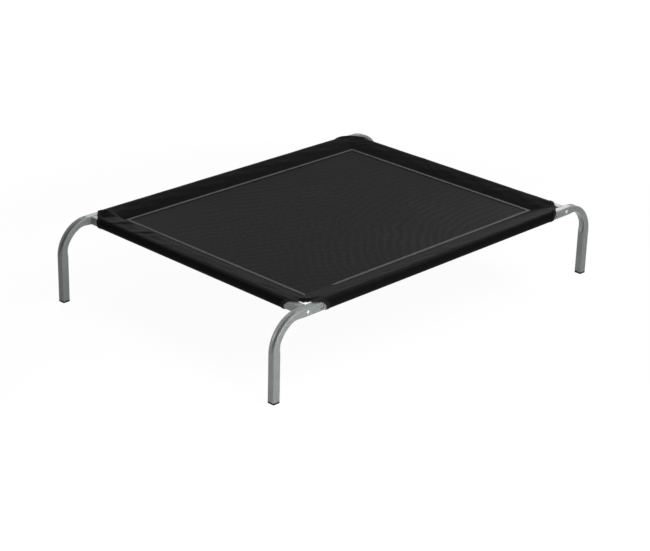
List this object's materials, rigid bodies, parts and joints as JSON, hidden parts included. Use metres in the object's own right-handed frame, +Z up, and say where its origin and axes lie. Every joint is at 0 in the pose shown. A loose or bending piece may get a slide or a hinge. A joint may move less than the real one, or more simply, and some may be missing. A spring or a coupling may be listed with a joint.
{
  "type": "raised dog cot",
  "caption": "Low rectangular pet bed: a bolted frame of bent square steel tube on short legs that carries a stretched black mesh panel by cloth sleeves along its sides.",
  "frame": {"origin": "on the floor, under the middle of the bed", "axes": "+X along the long sides, +Y along the short sides towards the rear, +Z up"},
  "size_m": [1.1, 0.756, 0.2011],
  "materials": {
    "frame_paint": "satin grey powder coat on steel tube",
    "plain_steel": "plain steel",
    "zinc_plate": "bright zinc plate",
    "cap_plastic": "black moulded polyethylene",
    "bed_mesh": "black coated polyester mesh",
    "sleeve_cloth": "black coated polyester cloth",
    "seam_tape": "dark grey woven tape"
  },
  "bodies": {
    "root": {"leg_front_left": "frame_paint", "leg_front_right": "frame_paint", "leg_rear_left": "frame_paint", "leg_rear_right": "frame_paint", "long_rail_front": "frame_paint", "long_rail_rear": "frame_paint", "short_rail_left": "frame_paint", "short_rail_right": "frame_paint", "rail_plug_front_left": "plain_steel", "rail_plug_front_right": "plain_steel", "rail_plug_rear_left": "plain_steel", "rail_plug_rear_right": "plain_steel", "foot_cap_front_left": "cap_plastic", "foot_cap_front_right": "cap_plastic", "foot_cap_rear_left": "cap_plastic", "foot_cap_rear_right": "cap_plastic", "corner_bolts": "zinc_plate", "rail_screws": "zinc_plate", "rail_weld_nuts": "plain_steel", "bed_mesh": "bed_mesh", "sleeve_front": "sleeve_cloth", "sleeve_rear": "sleeve_cloth", "sleeve_left": "sleeve_cloth", "sleeve_right": "sleeve_cloth", "seam_tape_front": "seam_tape", "seam_tape_rear": "seam_tape", "seam_tape_left": "seam_tape", "seam_tape_right": "seam_tape"}
  },
  "joints": []
}
